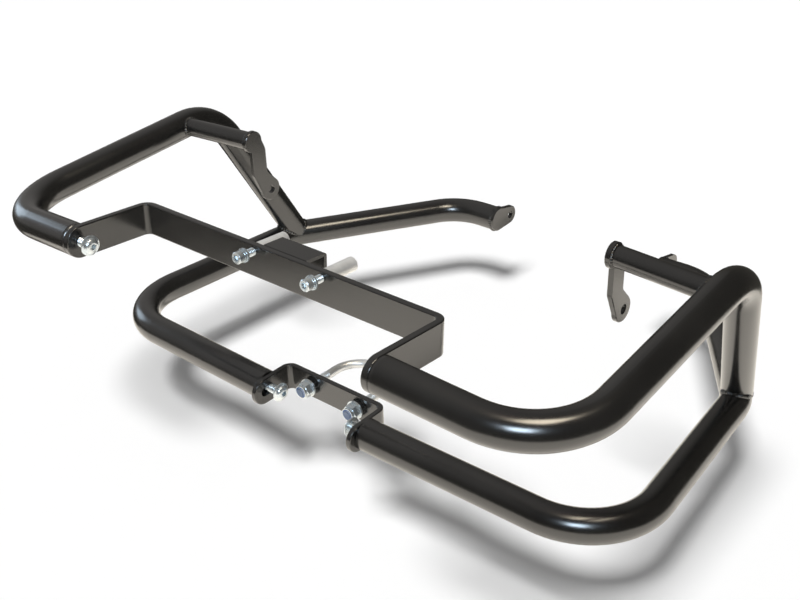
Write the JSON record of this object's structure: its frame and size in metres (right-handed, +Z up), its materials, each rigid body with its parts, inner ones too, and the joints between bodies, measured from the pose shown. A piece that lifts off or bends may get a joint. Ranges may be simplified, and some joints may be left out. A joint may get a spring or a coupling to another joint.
{
  "type": "motorcycle crash bars",
  "caption": "Mirrored pair of bent black steel guard tubes for a motorcycle, joined by a front strap and a U-bolt frame clamp, with bolt-on mount plates.",
  "frame": {"origin": "centre of the frame tube that the lower clamp's U-bolt holds, level with the U-bolt's rod", "axes": "+X across the motorcycle to the right-hand bar, +Y rearwards, +Z up; the lower bars lie level"},
  "size_m": [0.6218, 0.5656, 0.1939],
  "materials": {
    "powder_coat": "satin black powder coat over steel",
    "zinc_plate": "bright bluish zinc plate",
    "sleeve_alloy": "turned, plain",
    "nut_nylon": "blue nylon locking ring"
  },
  "bodies": {
    "root": {"left_upper_tube": "powder_coat", "right_upper_tube": "powder_coat", "left_lower_tube": "powder_coat", "right_lower_tube": "powder_coat", "left_cross_tube": "powder_coat", "right_cross_tube": "powder_coat", "left_mount_plate": "powder_coat", "right_mount_plate": "powder_coat", "left_rear_tab": "powder_coat", "right_rear_tab": "powder_coat", "left_upper_collar": "powder_coat", "right_upper_collar": "powder_coat", "left_lower_collar": "powder_coat", "right_lower_collar": "powder_coat", "front_strap": "powder_coat", "strap_channel": "powder_coat", "lower_bracket": "powder_coat", "strap_screws": "zinc_plate", "strap_spring_washers": "zinc_plate", "strap_washers": "zinc_plate", "upper_tube_screws": "zinc_plate", "lower_tube_screws": "zinc_plate", "u_bolt": "zinc_plate", "u_bolt_nuts": "zinc_plate", "u_bolt_washers": "zinc_plate", "left_spacer": "sleeve_alloy", "right_spacer": "sleeve_alloy", "nut_rings": "nut_nylon"}
  },
  "joints": []
}
